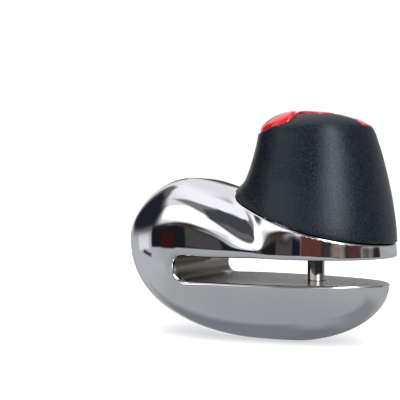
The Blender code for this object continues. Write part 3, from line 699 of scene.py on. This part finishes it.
def cap_field(P):
    x, y, z = P.T
    r = np.hypot(x, y)
    f = meet((z - dome(r)) / steep(dome, r), r - 17.46, 0.25)
    f = meet(f, 47.62 - z, 0.2)
    f = meet(f, 7.9 - r, 0.2)
    pocket = np.maximum(plan_lookup(HOOD_PLAN, x, y) - 0.13, hood_under(r) - 0.2 - z)
    f = meet(f, -pocket, 0.12)
    pocket = np.maximum(plan_lookup(TIP_PLAN, x, y) - 0.12, np.where(r < 16.5, dome(r) - 0.9, 47.5) - z)
    return meet(f, -pocket, 0.1)


def tip_top(r):
    return np.where(r < 17.2, dome(r) + 0.3, np.interp(r, (17.2, 17.8, 18.35), (float(dome(17.2)) + 0.3, 48.75, 48.15)))


def tip_field(P):
    x, y, z = P.T
    r = np.hypot(x, y)
    f = meet((z - tip_top(r)) / 1.15, plan_lookup(TIP_PLAN, x, y) + 0.02, 0.4)
    f = meet(f, r - 17.62, 0.3)
    return meet(f, np.where(r < 16.5, dome(r) - 0.68, 47.72) - z, 0.12)


def cover_field(P):
    x, y, z = P.T
    r = np.hypot(x, y)
    top = dome(r) + 0.12 + 0.5 * smooth((3.5 - x) / 6.0) + 0.25 * smooth((-1.0 - x) / 4.0)
    f = meet((z - top) / 1.05, r - 6.0, 0.35)
    f = meet(f, 52.6 - z, 0.2)
    f = meet(f, -4.9 - x, 0.25)
    strap = meet(meet(np.abs(y) - 1.35, np.abs(x + 5.7) - 1.3, 0.2), np.abs(z - 53.2) - 0.42, 0.2)
    knuckle = meet(np.hypot(x + 7.0, z - 53.0) - 0.95, np.abs(y) - 1.35, 0.2)
    f = join(join(f, strap, 0.3), knuckle, 0.2)
    return meet(f, 0.6 - np.hypot(x + 7.0, z - 53.0), 0.08)


q = 1.0
for name, field, lo, hi, h, mat, body_name, slot, node in (
        ("accent_hood_skin", hood_field, (-18.8, -18.8, 46.9), (-2.2, 18.8, 54.7), 0.2 * q, RED, "knob", "accent_red",
         "accent_hood"),
        ("knob_cap_skin", cap_field, (-17.9, -17.9, 47.2), (17.9, 17.9, 54.2), 0.25 * q, CAP_BLACK, "knob",
         "cap_black", "knob_cap"),
        ("accent_tip_skin", tip_field, (12.3, -5.9, 47.3), (18.9, 5.9, 52.5), 0.13 * q, RED, "knob", "accent_red",
         "accent_tip"),
        ("keyhole_cover_skin", cover_field, (-8.3, -6.4, 51.7), (6.4, 6.4, 54.7), 0.14 * q, RED, "cover",
         "accent_red", "keyhole_cover")):
    P, F, N = skin(field, lo, hi, h)
    piece(name, P, F, mat, body_name, [node], N)

# ------------------------------------------------------------------ turned steel
turned("locking_pin_skin", [(0, -6), (1.9, -6), (2.2, -5.92), (2.6, -5.5), (2.72, -5.2), (2.75, -4.8), (2.75, 10.0),
                            (2.75, 24.4), (2.6, 24.85), (2.3, 24.9), (0, 24.9)], PIN_STEEL, "knob",
       ["locking_pin"], caps=True)
turned("pin_socket_bush_skin", [(3.05, -7.0), (3.4, -7.0), (3.45, -6.9), (3.45, -0.22), (3.38, -0.13), (3.3, -0.1),
                                (3.2, -0.12), (3.08, -0.3), (3.05, -0.5)], BUSH_STEEL, "body",
       ["pin_socket_bush"])

# ------------------------------------------------------------------ carried-over pieces get their finishes
FINISH = {"guide_sleeve": BRONZE, "wiper_seal": RUBBER, "travel_stop_screw": OXIDE, "return_spring": SPRING,
          "cover_hinge_pin": DOWEL, "knob_screw_1": OXIDE, "knob_screw_2": OXIDE, "knob_screw_3": OXIDE,
          "lock_barrel": ZINC, "pin_retaining_dowel": DOWEL, "plug_retaining_pin": DOWEL, "key_plug": NICKEL,
          "bolt_cam": CAM, "locking_bolt": BOLT}
for k in range(1, 6):
    FINISH["wafer_%d" % k] = WAFER
for name, mat in FINISH.items():
    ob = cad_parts[name]
    if len(ob.data.materials):
        for i in range(len(ob.data.materials)):
            ob.data.materials[i] = mat
    else:
        ob.data.materials.append(mat)

# ------------------------------------------------------------------ floor, world, camera
AZ = math.radians(27.0)
RIGHT = (math.cos(AZ), math.sin(AZ), 0.0)
BACK = (math.sin(AZ), -math.cos(AZ), 0.0)          # from the lock towards the camera


def floor():
    n, m = 96, 40
    rad = np.concatenate([np.linspace(0.02, 0.6, 28), np.geomspace(0.7, 9.0, 12)])
    verts = [(0.0, 0.0, -0.0002)]
    for r_ in rad:
        for i in range(n):
            t = 2 * math.pi * i / n
            verts.append((r_ * math.cos(t), r_ * math.sin(t), -0.0002))
    faces = [(0, 1 + i, 1 + (i + 1) % n) for i in range(n)]
    for k in range(m - 1):
        for i in range(n):
            a, b = 1 + k * n + i, 1 + k * n + (i + 1) % n
            faces.append((a, a + n, b + n, b))
    me = bpy.data.meshes.new("studio_floor")
    me.from_pydata(verts, [], faces)
    me.shade_smooth()
    ob = bpy.data.objects.new("studio_floor", me)
    bpy.context.scene.collection.objects.link(ob)
    f = Mat("floor_pale", Roughness=0.9)
    f.b.inputs["Specular IOR Level"].default_value = 0.1
    f.colour(f.mix(f.noise(3.0, 2.0), (0.86, 0.86, 0.86), (0.90, 0.90, 0.90)))
    f.b.inputs["Emission Color"].default_value = (1, 1, 1, 1)
    f.b.inputs["Emission Strength"].default_value = 0.42
    me.materials.append(f.m)
    ob.visible_glossy = False


floor()
world = bpy.data.worlds.new("studio")
bpy.context.scene.world = world
world.use_nodes = True
W = world.node_tree
W.nodes.clear()


def wn(kind, **kw):
    n = W.nodes.new(kind)
    for k, v in kw.items():
        setattr(n, k, v)
    return n


def wmath(op, a, b=0.0, c=None, clamp=False):
    n = wn("ShaderNodeMath", operation=op)
    n.use_clamp = clamp
    for s_, v in zip(n.inputs, (a, b) if c is None else (a, b, c)):
        if isinstance(v, (int, float)):
            s_.default_value = v
        else:
            W.links.new(v, s_)
    return n.outputs[0]


direction = wn("ShaderNodeTexCoord").outputs["Generated"]


def wdot(v):
    n = wn("ShaderNodeVectorMath", operation="DOT_PRODUCT")
    W.links.new(direction, n.inputs[0])
    n.inputs[1].default_value = v
    return n.outputs["Value"]


# the studio is laid out by side (degrees right of the camera's back) and height (degrees)
side = wmath("MULTIPLY", wmath("ARCTAN2", wdot(RIGHT), wdot(BACK)), 180 / math.pi)
height = wmath("MULTIPLY", wmath("ARCSINE", wdot((0, 0, 1))), 180 / math.pi)
wob = wn("ShaderNodeTexNoise")
wob.inputs["Scale"].default_value = 3.0
wob.inputs["Detail"].default_value = 2.0
W.links.new(direction, wob.inputs["Vector"])
wobble = wmath("MULTIPLY", wmath("SUBTRACT", wob.outputs["Fac"], 0.5), 10.0)
height_w = wmath("ADD", height, wobble)


def wstep(v, a, b):
    n = wn("ShaderNodeMapRange", interpolation_type="SMOOTHSTEP")
    n.inputs["From Min"].default_value, n.inputs["From Max"].default_value = a, b
    W.links.new(v, n.inputs["Value"])
    return n.outputs["Result"]


def band(v, a, b, soft):
    return wmath("MULTIPLY", wstep(v, a - soft, a + soft), wmath("SUBTRACT", 1.0, wstep(v, b - soft, b + soft)))


def wmix(fac, a, b):
    n = wn("ShaderNodeMix", data_type="RGBA")
    W.links.new(fac, n.inputs["Factor"])
    for s_, v in ((n.inputs[6], a), (n.inputs[7], b)):
        if isinstance(v, tuple):
            s_.default_value = (*v, 1.0)
        else:
            W.links.new(v, s_)
    return n.outputs[2]


def panel(colour, corners, soft, value, wavy=0.0):
    """Lay a soft-edged panel over the sky; corners run anticlockwise, in degrees (side, height)."""
    hh = height if not wavy else wmath("ADD", height, wmath("MULTIPLY", wobble, wavy))
    m = None
    for (s0, h0), (s1, h1) in zip(corners, corners[1:] + corners[:1]):
        L = math.hypot(s1 - s0, h1 - h0)
        nx, ny = -(h1 - h0) / L, (s1 - s0) / L
        d = wmath("ADD", wmath("MULTIPLY", side, nx), wmath("MULTIPLY_ADD", hh, ny, -(s0 * nx + h0 * ny)))
        m = d if m is None else wmath("MINIMUM", m, d)
    return wmix(wstep(m, -soft, soft), colour, value)


def box4(s0, s1, h0, h1):
    return [(s0, h0), (s1, h0), (s1, h1), (s0, h1)]


sky = wmix(wstep(height, -90.0, -25.0), (0.345, 0.35, 0.37), (0.42, 0.425, 0.44))
sky = panel(sky, box4(-150, -96, -34, 2), 9, (0.50, 0.51, 0.54))
sky = panel(sky, box4(-190, -142, -78, -30), 9, (0.20, 0.21, 0.235))
sky = panel(sky, box4(142, 190, -78, -30), 9, (0.18, 0.19, 0.21))
sky = panel(sky, box4(56, 150, -80, -42), 12, (0.25, 0.255, 0.27))
sky = panel(sky, box4(-190, -164, -28, 2), 5, (1.0, 1.0, 1.0))
sky = panel(sky, box4(150, 190, -26, 2), 6, (0.90, 0.90, 0.90))
sky = panel(sky, box4(-126, -106, -9, 0), 2.0, (0.80, 0.80, 0.83), 0.5)
sky = panel(sky, [(-119, -12), (-108, -18), (-105, -15), (-115, -9)], 1.5, (0.04, 0.042, 0.05))
upper = wmix(wstep(height, 20.0, 70.0), (0.80, 0.79, 0.83), (1.08, 1.07, 1.10))
sky = wmix(wstep(height, -1.0, 2.5), sky, upper)
sky = panel(sky, [(-92, 5), (-56, 3), (-27, 12), (-30, 17), (-38, 26), (-60, 31), (-96, 16)], 1.5, (1.40, 1.40, 1.42), 0.3)
# slate slab between the big boxes
sky = panel(sky, [(-90, 34), (-50, 29), (-28, 26), (4, 62), (-14, 72), (-60, 50)], 4, (0.21, 0.215, 0.235))
sky = panel(sky, [(-41, 22), (-24, 11), (-8, 20), (24, 62), (30, 78), (-16, 70), (-40, 42)], 3, (0.060, 0.064, 0.076), 0.5)
sky = panel(sky, [(-34, 24), (-25, 14), (-19, 20), (-24, 30)], 3, (0.16, 0.14, 0.145))
sky = panel(sky, [(-34, 5), (14, 5), (14, 9), (-34, 12)], 1.5, (1.2, 1.2, 1.2))
# bright strip on the right, beside the camera
sky = panel(sky, box4(46, 160, 3, 52), 8, (0.22, 0.222, 0.235))
sky = panel(sky, [(5, 4), (33, 4), (37, 60), (9, 50)], 4, (6.0, 6.0, 6.1))
# deep blue-black panel on the left, its top edge warm
sky = panel(sky, [(-160, 4), (-140, 0), (-95, 0), (-92, 18), (-112, 40), (-140, 50), (-154, 40)], 5, (0.16, 0.135, 0.125))
sky = panel(sky, [(-154, 4), (-140, 1), (-100, 1), (-96, 14), (-114, 32), (-140, 32)], 4, (0.014, 0.018, 0.027))
sky = panel(sky, box4(-190, -171, 4, 20), 3, (0.02, 0.02, 0.025))
# things standing along the horizon
sky = panel(sky, box4(-102, -30, -7, 2), 1.3, (0.012, 0.012, 0.015), 0.35)
sky = panel(sky, [(-100, 1), (-60, 1), (-34, 4), (-60, 4.5)], 1.2, (0.05, 0.028, 0.024))
sky = panel(sky, box4(-89, -77, -7.5, -2.0), 2.0, (0.040, 0.010, 0.007))
sky = panel(sky, box4(-66, -42, -5.5, 0.8), 1.5, (0.070, 0.064, 0.062), 0.5)
sky = panel(sky, box4(-39, -31, -4, 0.5), 1.5, (0.010, 0.014, 0.030))
sky = panel(sky, box4(-29, 92, -9, 5), 1.5, (0.030, 0.024, 0.024), 0.4)
sky = panel(sky, [(-30, -3.2), (-4, -3.2), (2, 3), (-12, 7), (-30, 4.5)], 2.0, (0.12, 0.042, 0.035), 1.2)
sky = panel(sky, [(0, -2.5), (14, -2.5), (18, 3.5), (6, 3.5)], 2.0, (0.050, 0.036, 0.045), 1.0)
sky = panel(sky, [(14, -2.0), (30, -2.0), (36, 4), (24, 4)], 3.0, (0.34, 0.29, 0.25), 1.2)
sky = panel(sky, [(36, -2.0), (54, -2.0), (58, 4), (44, 4)], 2.5, (0.10, 0.040, 0.034), 1.0)
sky = panel(sky, [(58, -1.5), (78, -1.5), (84, 3), (66, 3)], 3.0, (0.46, 0.44, 0.42), 1.0)
sky = panel(sky, box4(92, 150, 0, 17), 3, (0.44, 0.45, 0.45))
sky = panel(sky, box4(62, 98, 14, 34), 5, (0.10, 0.085, 0.07))
sky = panel(sky, box4(166, 190, 3, 13), 2, (0.06, 0.06, 0.065))
lp = wn("ShaderNodeLightPath")
bg_env, bg_cam = wn("ShaderNodeBackground"), wn("ShaderNodeBackground")
W.links.new(sky, bg_env.inputs["Color"])
bg_env.inputs["Strength"].default_value = 1.0
bg_cam.inputs["Color"].default_value = (1, 1, 1, 1)
mixer, out = wn("ShaderNodeMixShader"), wn("ShaderNodeOutputWorld")
W.links.new(lp.outputs["Is Camera Ray"], mixer.inputs["Fac"])
W.links.new(bg_env.outputs[0], mixer.inputs[1])
W.links.new(bg_cam.outputs[0], mixer.inputs[2])
W.links.new(mixer.outputs[0], out.inputs["Surface"])


def softbox(name, side_deg, height_deg, dist, size, power):
    sa, ha = math.radians(side_deg), math.radians(height_deg)
    d = Vector(BACK) * math.cos(sa) * math.cos(ha) + Vector(RIGHT) * math.sin(sa) * math.cos(ha) + Vector((0, 0, math.sin(ha)))
    light = bpy.data.lights.new(name, "AREA")
    light.shape = "RECTANGLE"
    light.size, light.size_y = size
    light.energy = power
    ob = bpy.data.objects.new(name, light)
    ob.location = d * dist + Vector((PX * MM, 0, 0.045))
    ob.rotation_euler = d.to_track_quat("Z", "Y").to_euler()
    ob.visible_glossy = False
    ob.visible_camera = False
    bpy.context.scene.collection.objects.link(ob)


softbox("softbox_top", -20, 70, 0.9, (0.9, 0.7), 5.0)

cam_data = bpy.data.cameras.new("camera")
cam_data.lens, cam_data.sensor_width = 73.35, 36.0
cam_data.clip_start = 0.01
cam = bpy.data.objects.new("camera", cam_data)
cam.location = ((PX + 85.46) * MM, -249.63 * MM, (FZ + 25.72) * MM)
cam.rotation_euler = (math.radians(90), 0, AZ)
bpy.context.scene.collection.objects.link(cam)
bpy.context.scene.camera = cam
bpy.context.scene.view_settings.view_transform = "Standard"
